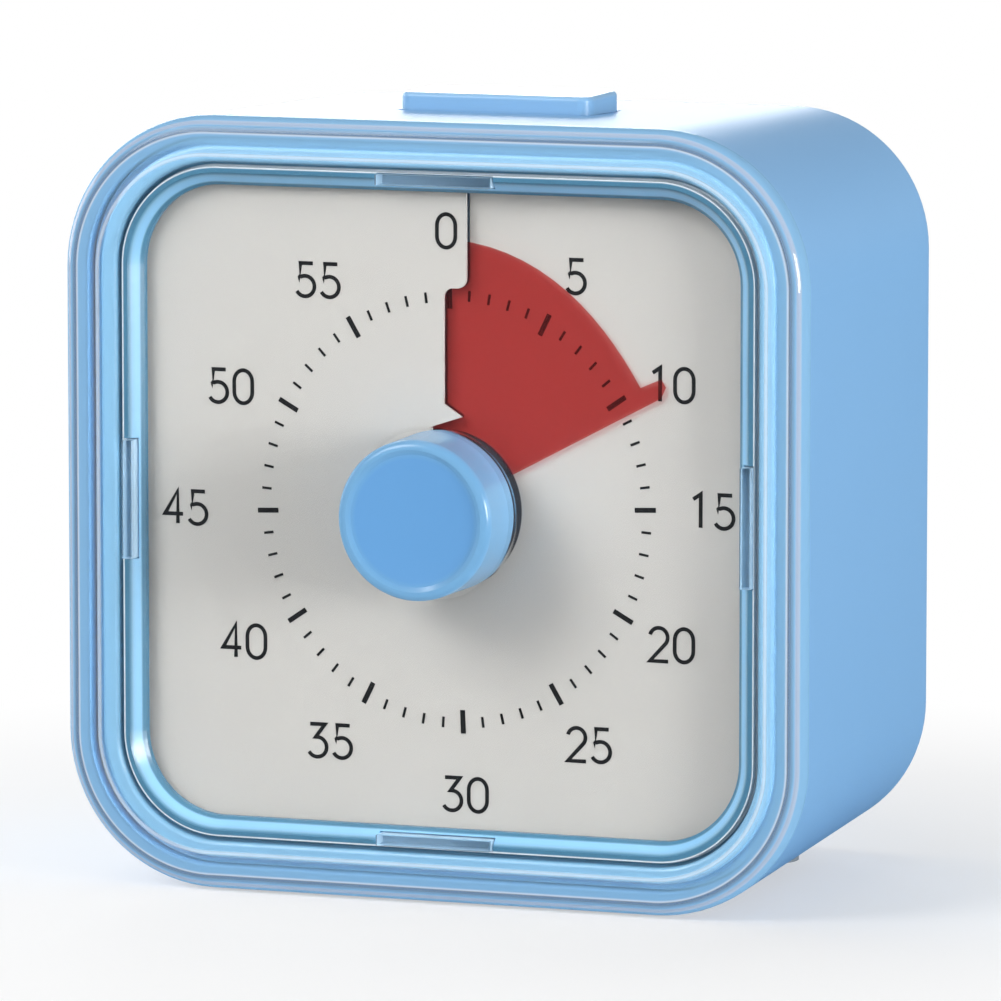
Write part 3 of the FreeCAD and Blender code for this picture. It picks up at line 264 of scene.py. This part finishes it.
# Each band, plain or painted highlight or shade: how far out from the window, as a share of the widest, and
# its tint.
LIP_PAINTED_LIGHT_BANDS = (
    (0.0, lip_painted_shade), (0.05, lip_painted_shade), (0.08, lip_painted_light), (0.14, lip_painted_light), (0.19, lip_plain),
    (0.24, lip_painted_shade), (0.33, lip_painted_shade), (0.35, lip_painted_glint), (0.385, lip_painted_glint), (0.41, lip_painted_shade),
    (0.5, lip_plain), (0.76, lip_painted_light), (0.82, lip_painted_light), (0.88, lip_plain),
)
lip_band_painted_tint = node(frame_abs, "ShaderNodeValToRGB", {"Fac": lip_outward.outputs[0]})
while len(lip_band_painted_tint.color_ramp.elements) < len(LIP_PAINTED_LIGHT_BANDS):
    lip_band_painted_tint.color_ramp.elements.new(1.0)
for index, (outward, colour) in enumerate(LIP_PAINTED_LIGHT_BANDS):
    lip_band_painted_tint.color_ramp.elements[index].position = outward
    lip_band_painted_tint.color_ramp.elements[index].color = linear(colour)
recolour(frame_abs, lip_band_painted_tint.outputs[0])
dress(("front_frame",), frame_abs)

# Stop button. Blue ABS, moulded as a cap that slides in its hole in the case and rests on the switch
# below. It is a shade paler and a little glossier than the case.
button_abs = etched_abs("satin_blue_abs", "#98C8EF", "#94C4EB",
                        grain=1.2 * MM, roughness=0.3, depth=0.006 * MM)
dress(("stop_button",), button_abs)


# Knob. Blue ABS, moulded with a satin gloss and pressed on the spindle. Its raised rim is painted lighter
# than the dished face, as painted light for the light that the rim catches.
def from_spindle(material):
    """Distance from the spindle's axis."""
    place = node(material, "ShaderNodeTexCoord")
    from_middle = node(material, "ShaderNodeVectorMath", {
        0: place.outputs["Object"], 1: (0.0, 0.0, pane_middle.z)}, operation="SUBTRACT")
    across = node(material, "ShaderNodeVectorMath", {
        0: from_middle.outputs[0], 1: (1.0, 0.0, 1.0)}, operation="MULTIPLY")
    distance = node(material, "ShaderNodeVectorMath", {0: across.outputs[0]}, operation="LENGTH")
    return distance.outputs["Value"]


knob_face = "#68A4DC"
knob_rim_painted_light = "#76AEDA"
knob_abs = etched_abs("satin_blue_knob_abs", knob_face, knob_rim_painted_light,
                      grain=1.2 * MM, roughness=0.2, depth=0.006 * MM)
rim_begins = 6.45 * MM
rim_full = 7.25 * MM
knob_rim = node(knob_abs, "ShaderNodeMapRange", {
    "Value": from_spindle(knob_abs), "From Min": rim_begins, "From Max": rim_full})
knob_painted_light_tint = node(knob_abs, "ShaderNodeMix", {
    "Factor": knob_rim.outputs[0], 6: linear(knob_face), 7: linear(knob_rim_painted_light)}, data_type="RGBA")
recolour(knob_abs, knob_painted_light_tint.outputs[2])
dress(("knob",), knob_abs)

# Front pane. Clear polystyrene, moulded and polished, held by four clips in slots in the front frame.
# Lamp light goes through it unbent, so the dial is lit; the eye sees its rounded rim bend what is behind.
# The rim's stripes are painted light and shade, seen by the eye alone, for light that runs inside the
# plastic and leaves it at the edges.
pane_clear = new_material("clear_polystyrene")
ripple_width = 20 * MM
ripple_depth = 0.02 * MM
pane_ray = node(pane_clear, "ShaderNodeLightPath")
pane_place = node(pane_clear, "ShaderNodeTexCoord")
pane_ripple = node(pane_clear, "ShaderNodeTexNoise", {"Vector": pane_place.outputs["Object"],
                                                      "Scale": 1 / ripple_width, "Detail": 1.0})
pane_bump = node(pane_clear, "ShaderNodeBump", {"Height": pane_ripple.outputs["Fac"], "Strength": 0.1,
                                                "Distance": ripple_depth})
pane_glass = node(pane_clear, "ShaderNodeBsdfPrincipled", {
    "Base Color": linear("#FEFEFE"), "Roughness": 0.02, "IOR": 1.5, "Transmission Weight": 1.0,
    "Normal": pane_bump.outputs["Normal"]})
pane_open = node(pane_clear, "ShaderNodeBsdfTransparent", {"Color": linear("#FAFAFA")})
pane_corner = 16.4 * MM
pane_reach = (pane_high - pane_low) / 2
rim_widest = 5.0 * MM
hole_reach = 9.2 * MM
hole_blend = 0.3 * MM
clip_root = pane_low.y + 2.6 * MM
clip_blend = 0.1 * MM
clip_painted_light_share = 0.75
pane_inward = node(pane_clear, "ShaderNodeMapRange", {
    "Value": past_corner_centre(pane_clear, pane_reach, pane_corner), "From Min": pane_corner,
    "From Max": pane_corner - rim_widest, "To Min": 0.0, "To Max": 1.0})
rim_painted_glint = "#E8F2FA"
rim_painted_blue = "#93C5E8"
rim_painted_shade = "#7F8A8C"
# Each painted stripe of light or shade: how far in from the rim, as a share of the widest, its tint, and how
# much it covers.
RIM_PAINTED_STRIPES = (
    (0.0, rim_painted_blue, 0.75), (0.08, rim_painted_blue, 0.75), (0.11, rim_painted_glint, 0.45), (0.15, rim_painted_glint, 0.4),
    (0.19, rim_painted_blue, 0.7), (0.29, rim_painted_shade, 0.5), (0.31, rim_painted_shade, 0.5), (0.34, rim_painted_glint, 0.65),
    (0.38, rim_painted_blue, 0.65), (0.52, rim_painted_blue, 0.6), (0.66, rim_painted_blue, 0.25), (0.75, rim_painted_glint, 0.1),
    (0.79, rim_painted_glint, 0.5), (0.83, rim_painted_glint, 0.4), (0.87, rim_painted_glint, 0.0),
)
painted_stripe_colour = node(pane_clear, "ShaderNodeValToRGB", {"Fac": pane_inward.outputs[0]})
painted_stripe_share = node(pane_clear, "ShaderNodeValToRGB", {"Fac": pane_inward.outputs[0]})
for ramp in (painted_stripe_colour.color_ramp, painted_stripe_share.color_ramp):
    while len(ramp.elements) < len(RIM_PAINTED_STRIPES):
        ramp.elements.new(1.0)
for index, (inward, colour, share) in enumerate(RIM_PAINTED_STRIPES):
    painted_stripe_colour.color_ramp.elements[index].position = inward
    painted_stripe_colour.color_ramp.elements[index].color = linear(colour)
    painted_stripe_share.color_ramp.elements[index].position = inward
    painted_stripe_share.color_ramp.elements[index].color = (share, share, share, 1.0)
rim_painted_light = node(pane_clear, "ShaderNodeBsdfDiffuse", {"Color": painted_stripe_colour.outputs[0]})
rim_painted_share = node(pane_clear, "ShaderNodeMath", {0: painted_stripe_share.outputs[0],
                                                1: pane_ray.outputs["Is Camera Ray"]}, operation="MULTIPLY")
pane_painted_rim = node(pane_clear, "ShaderNodeMixShader", {0: rim_painted_share.outputs[0], 1: pane_glass.outputs[0],
                                                       2: rim_painted_light.outputs[0]})
# Round the knob's hole the pane is drawn plainly clear, without bending what is behind.
hole_edge = node(pane_clear, "ShaderNodeMapRange", {
    "Value": from_spindle(pane_clear), "From Min": hole_reach, "From Max": hole_reach + hole_blend,
    "To Min": 1.0, "To Max": 0.0})
pane_holed = node(pane_clear, "ShaderNodeMixShader", {0: hole_edge.outputs[0], 1: pane_painted_rim.outputs[0],
                                                      2: pane_open.outputs[0]})
# Behind the pane, the clear clips are painted pale blue. This is painted light, standing for the lit frame
# seen through them.
pane_parts = node(pane_clear, "ShaderNodeSeparateXYZ", {0: pane_place.outputs["Object"]})
clip_share = node(pane_clear, "ShaderNodeMapRange", {
    "Value": pane_parts.outputs["Y"], "From Min": clip_root, "From Max": clip_root + clip_blend,
    "To Min": 0.0, "To Max": clip_painted_light_share})
clip_painted_light = node(pane_clear, "ShaderNodeBsdfDiffuse", {"Color": linear("#C4E2F6")})
pane_seen = node(pane_clear, "ShaderNodeMixShader", {0: clip_share.outputs[0], 1: pane_holed.outputs[0],
                                                     2: clip_painted_light.outputs[0]})
pane_mix = node(pane_clear, "ShaderNodeMixShader", {0: pane_ray.outputs["Is Shadow Ray"],
                                                    1: pane_seen.outputs[0], 2: pane_open.outputs[0]})
material_output(pane_clear, pane_mix.outputs[0])
dress(("front_cover",), pane_clear)

# Dial. Grey polypropylene sheet, matt, wound one turn so that its two edges pass at the slit beside the
# zero. Its edge round the hub is painted dark as painted shade, and shows as a thin dark line beside the
# knob.
hub_painted_shade_reach = 8.4 * MM
hub_painted_shade_edge = 0.1 * MM
hub_painted_shade_tint = "#403E41"
dial_sheet = etched_abs("matt_grey_printed_sheet", "#CCCAC5", "#C9C7C2",
                        grain=0.5 * MM, roughness=0.7, depth=0.004 * MM)
sheet_past_hub_shade = node(dial_sheet, "ShaderNodeMapRange", {
    "Value": from_spindle(dial_sheet), "From Min": hub_painted_shade_reach,
    "From Max": hub_painted_shade_reach + hub_painted_shade_edge})
sheet_hub_shade_tint = node(dial_sheet, "ShaderNodeMix", {
    "Factor": sheet_past_hub_shade.outputs[0], 6: linear(hub_painted_shade_tint), 7: plain_tone(dial_sheet)},
    data_type="RGBA")
recolour(dial_sheet, sheet_hub_shade_tint.outputs[2])
dress(("dial_plate",), dial_sheet)

# Time disc. Thin red polyester film, tinted right through: the dial's marks show dark under it. Its
# middle, where it is held by the hub, is painted dark grey as painted shade.
red_film = new_material("tinted_red_polyester_film")
film_drift = 12 * MM
film_skin_share = 0.08
film_place = node(red_film, "ShaderNodeTexCoord")
film_hub_shade_share = node(red_film, "ShaderNodeMapRange", {
    "Value": from_spindle(red_film), "From Min": hub_painted_shade_reach,
    "From Max": hub_painted_shade_reach + hub_painted_shade_edge, "To Min": 1.0, "To Max": 0.0})
film_cloud = node(red_film, "ShaderNodeTexNoise", {
    "Vector": film_place.outputs["Object"], "Scale": 1 / film_drift, "Detail": 2.0})
film_tone = node(red_film, "ShaderNodeMix", {"Factor": film_cloud.outputs["Fac"], 6: linear("#F4C1C0"),
                                             7: linear("#F3BEBD")}, data_type="RGBA")
film_through = node(red_film, "ShaderNodeBsdfTransparent", {"Color": film_tone.outputs[2]})
film_skin = node(red_film, "ShaderNodeBsdfPrincipled", {"Base Color": linear("#B0302F"), "Roughness": 0.35})
film_mix = node(red_film, "ShaderNodeMixShader", {0: film_skin_share, 1: film_through.outputs[0],
                                                  2: film_skin.outputs[0]})
hub_painted_shade = node(red_film, "ShaderNodeBsdfDiffuse", {"Color": linear(hub_painted_shade_tint)})
film_all = node(red_film, "ShaderNodeMixShader", {0: film_hub_shade_share.outputs[0], 1: film_mix.outputs[0],
                                                  2: hub_painted_shade.outputs[0]})
material_output(red_film, film_all.outputs[0])
dress(("time_disc",), red_film)

# Dial print. Near-black ink, screen printed: a tick for each minute, a longer one every five, and upright
# numerals. It follows the wound sheet, a hair proud of it. The ring of ticks isn't quite true to the knob.
ink = new_material("screen_printed_black_ink")
ink_speck = 0.4 * MM
ink_place = node(ink, "ShaderNodeTexCoord")
ink_cloud = node(ink, "ShaderNodeTexNoise", {"Vector": ink_place.outputs["Object"], "Scale": 1 / ink_speck,
                                             "Detail": 2.0})
ink_tone = node(ink, "ShaderNodeMix", {"Factor": ink_cloud.outputs["Fac"], 6: linear("#0E0E0F"),
                                       7: linear("#161618")}, data_type="RGBA")
ink_surface = node(ink, "ShaderNodeBsdfPrincipled", {"Base Color": ink_tone.outputs[2], "Roughness": 0.7,
                                                     "Specular IOR Level": 0.2})
material_output(ink, ink_surface.outputs[0])

# The wound sheet: its front face goes forward by the pitch in a turn, and ends 12 degrees past a turn.
dial_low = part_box("dial_plate")[0]
spindle_low, spindle_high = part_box("spindle")
axis_x = (spindle_low.x + spindle_high.x) / 2
axis_z = (spindle_low.z + spindle_high.z) / 2
turn_pitch = 1.2 * MM
ink_lift = 0.03 * MM
past_full_turn = 12
sheet_front = dial_low.y + turn_pitch * past_full_turn / 360


def sheet_height(x, z, left_of_slit):
    """Place of the sheet's face along Y. The sheet comes forward as it goes round clockwise."""
    angle = math.degrees(math.atan2(x, z))
    if angle < -90 or (left_of_slit and angle < 90):
        angle += 360
    return sheet_front + turn_pitch * (1 - angle / 360) - ink_lift


def printed(name, ribbons, left_of_slit):
    """Lay ribbons of ink on the dial. Each ribbon is a list of left and right edge points."""
    vertices = []
    faces = []
    for ribbon in ribbons:
        first = len(vertices)
        for left, right in ribbon:
            for x, z in (left, right):
                vertices.append((axis_x + x, sheet_height(x, z, left_of_slit), axis_z + z))
        for step in range(len(ribbon) - 1):
            low = first + 2 * step
            faces.append((low, low + 2, low + 3, low + 1))
    mesh = bpy.data.meshes.new(name)
    mesh.from_pydata(vertices, [], faces)
    mesh.materials.append(ink)
    piece = bpy.data.objects.new(name, mesh)
    bpy.context.scene.collection.objects.link(piece)
    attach(piece, "case")


# The ring of ticks as it is printed: how far right of the spindle, its turn, and its stretch.
print_side = 1.18 * MM
print_turn = math.radians(-2.3)
print_wide = 0.972
print_tall = 1.041
tick_outer = 22.7 * MM
long_tick = 2.4 * MM
short_tick = 1.1 * MM
short_inner = 21.1 * MM
long_tick_half = 0.27 * MM
short_tick_half = 0.14 * MM


def tick(minute):
    """A radial bar as a ribbon of one step."""
    angle = math.radians(6 * minute) + print_turn
    out = (math.sin(angle) * print_wide, math.cos(angle) * print_tall)
    if minute % 5 == 0:
        start, end, half = tick_outer - long_tick, tick_outer, long_tick_half
    else:
        start, end, half = short_inner, short_inner + short_tick, short_tick_half
    ends = []
    for radius in (start, end):
        x = print_side + out[0] * radius
        z = out[1] * radius
        ends.append(((x - out[1] * half, z + out[0] * half), (x + out[1] * half, z - out[0] * half)))
    return ends


printed("minute_ticks_right", [tick(minute) for minute in range(31)], left_of_slit=False)
printed("minute_ticks_left", [tick(minute) for minute in range(31, 60)], left_of_slit=True)

digit_height = 3.5 * MM
digit_width = 2.04 * MM
digit_step = 2.75 * MM
stroke = 0.42 * MM
arc_step = 9


def arc(centre, radii, start, end):
    """Points along an ellipse from one angle to another, in degrees, anticlockwise from the right."""
    steps = max(4, int(abs(end - start) / arc_step))
    return [
        (centre[0] + radii[0] * math.cos(math.radians(start + (end - start) * i / steps)),
         centre[1] + radii[1] * math.sin(math.radians(start + (end - start) * i / steps)))
        for i in range(steps + 1)
    ]


# Strokes of each digit, in millimetres right of and above its lower left corner.
DIGITS = {
    "0": [arc((1.02, 2.3), (1.02, 1.2), 0, 180) + arc((1.02, 1.2), (1.02, 1.2), 180, 360) + [(2.04, 2.3)]],
    "1": [[(0.3, 2.95), (1.12, 3.5), (1.12, 0.0)]],
    "2": [arc((1.0, 2.5), (0.98, 1.0), 165, -38) + [(0.05, 0.0), (2.05, 0.0)]],
    "3": [[(0.1, 3.5), (1.75, 3.5), (0.72, 2.12)] + arc((0.88, 1.06), (1.06, 1.06), 88, -150)],
    "4": [[(1.45, 0.0), (1.45, 3.5), (0.0, 1.02), (2.05, 1.02)]],
    "5": [[(1.8, 3.5), (0.38, 3.5), (0.28, 1.86)] + arc((0.9, 1.08), (1.06, 1.08), 126, -150)],
}
same_point = 0.0001 * MM
joined_ends = 0.02 * MM
sharpest_corner = 0.3
longest_mitre = 2.2


def ribbon_along(points):
    """A stroke of even width, with mitred corners and square ends."""
    clean = [points[0]]
    for point in points[1:]:
        if math.dist(point, clean[-1]) > same_point:
            clean.append(point)
    closed = math.dist(points[0], points[-1]) < joined_ends
    edges = []
    for i, (x, z) in enumerate(clean):
        before = clean[i - 1] if i else (clean[-2] if closed else None)
        after = clean[i + 1] if i + 1 < len(clean) else (clean[1] if closed else None)
        ways = []
        for start, end in ((before, (x, z)), ((x, z), after)):
            if start and end:
                length = math.dist(start, end)
                ways.append(((end[0] - start[0]) / length, (end[1] - start[1]) / length))
        mean = (sum(way[0] for way in ways), sum(way[1] for way in ways))
        size = math.hypot(*mean)
        mean = (mean[0] / size, mean[1] / size)
        straightness = max(mean[0] * ways[0][0] + mean[1] * ways[0][1], sharpest_corner)
        mitre = min(1 / straightness, longest_mitre) * stroke / 2
        right, up = mean[1] * mitre, mean[0] * mitre
        edges.append(((x - right, z + up), (x + right, z - up)))
    return edges


# Middle of each numeral, in millimetres right of and above the spindle.
NUMERALS = {
    0: (0.4, 29.4), 5: (14.4, 25.0), 10: (24.9, 14.1), 15: (29.4, 1.1), 20: (25.0, -13.1),
    25: (16.0, -24.1), 30: (2.3, -30.1), 35: (-12.8, -25.2), 40: (-22.5, -15.0), 45: (-29.0, -1.0),
    50: (-23.8, 12.1), 55: (-13.9, 23.7),
}
for value, (across, up) in NUMERALS.items():
    text = str(value)
    left = across * MM - (digit_width + digit_step * (len(text) - 1)) / 2
    low = up * MM - digit_height / 2
    strokes = []
    for index, digit in enumerate(text):
        digit_left = left + index * digit_step
        for path in DIGITS[digit]:
            strokes.append(ribbon_along([(digit_left + x * MM, low + z * MM) for x, z in path]))
    printed(f"numeral_{value}", strokes, left_of_slit=value == 0 or value > 30)

# Tray. Pale blue ABS, moulded in one piece. It backs the dial, carries the movement and takes the four
# case screws. Only a glimpse of it shows, in the clip slots round the window.
tray_abs = etched_abs("pale_blue_abs", "#B9DCF4", "#B4D8F1",
                      grain=1.0 * MM, roughness=0.4, depth=0.006 * MM)
dress(("inner_tray",), tray_abs)

# Wheels and the disc's hub. Acetal, moulded in its natural milky white. It runs without oil, on the
# spindle or on arbors of its own, and has a soft, waxy shine.
white_pom = etched_abs("white_acetal", "#EDEDE8", "#E6E6E0",
                       grain=1.0 * MM, roughness=0.4, depth=0.006 * MM)
dress(("disc_hub", "drive_wheel", "third_wheel", "second_wheel", "fourth_wheel"), white_pom)

# Movement case, switch, beeper and chip. Black ABS, and black epoxy for the chip, all moulded with the
# same even, matt face. Three screws hold the movement to the tray, and the rest is on the board.
black_abs = etched_abs("black_moulded_abs", "#1E1F21", "#242527",
                       grain=0.6 * MM, roughness=0.5, depth=0.01 * MM)
dress(("movement_front", "movement_back", "switch_body", "switch_plunger", "timing_chip", "beeper"),
      black_abs)

# Feet. Four pads of grey silicone rubber, moulded and glued in their pockets under the case. They are
# quite dull, with a dusty look.
rubber = etched_abs("grey_silicone_rubber", "#8C979F", "#868F97",
                    grain=0.4 * MM, roughness=0.8, depth=0.02 * MM)
dress(("rubber_feet",), rubber)

# Circuit board. Glass fibre board under green solder resist, which is smooth and a little glossy. Two
# screws hold it to posts of the case, under the stop button.
board = etched_abs("green_solder_resist", "#1D6B3E", "#176035",
                   grain=2.0 * MM, roughness=0.35, depth=0.01 * MM)
dress(("circuit_board",), board)

# Cell. A steel can in a dark plastic sleeve, printed and then shrunk on, which gives it a smooth gloss.
# It lies between its contacts behind the door.
cell_wrap = etched_abs("printed_cell_sleeve", "#3A4650", "#35414B",
                       grain=4.0 * MM, roughness=0.25, depth=0.004 * MM)
dress(("cell",), cell_wrap)


# Screws, spindle, washer, rotor pinion and crystal can. Zinc plated steel, turned or pressed: bright,
# with fine drawn marks that make its polish uneven.
def drawn_metal(name, colour, roughness):
    """Metal whose roughness varies along fine marks."""
    mark_width = 0.5 * MM
    uneven = 0.06
    material = new_material(name)
    place = node(material, "ShaderNodeTexCoord")
    marks = node(material, "ShaderNodeTexNoise", {
        "Vector": place.outputs["Object"], "Scale": 1 / mark_width, "Detail": 3.0})
    polish = node(material, "ShaderNodeMapRange", {
        "Value": marks.outputs["Fac"], "To Min": roughness - uneven, "To Max": roughness + uneven})
    surface = node(material, "ShaderNodeBsdfPrincipled", {
        "Base Color": linear(colour), "Metallic": 1.0, "Roughness": polish.outputs[0]})
    material_output(material, surface.outputs[0])
    return material


zinc_steel = drawn_metal("zinc_plated_steel", "#C9CACC", roughness=0.3)
dress(("case_screws", "movement_screws", "board_screws", "spindle", "clutch_washer", "rotor_pinion",
       "quartz_crystal"), zinc_steel)

# Cell contacts. Steel strip with a raised boss for the cell's plus end, and strip with a wire spring for
# the other, against the end walls of the cell bay. Their thin nickel plating is warmer than zinc.
nickel_steel = drawn_metal("nickel_plated_steel", "#D2CDC2", roughness=0.25)
dress(("contact_plus", "contact_minus_plate", "contact_minus_spring"), nickel_steel)

# Motor. Stamped soft iron and a sintered magnet, both dull grey, with a coil of enamelled copper wire
# whose varnish keeps the copper's red.
soft_iron = drawn_metal("soft_iron", "#7C7D80", roughness=0.45)
dress(("motor_iron", "rotor_magnet"), soft_iron)
copper_wire = drawn_metal("enamelled_copper_wire", "#C46A3C", roughness=0.35)
dress(("motor_coil",), copper_wire)
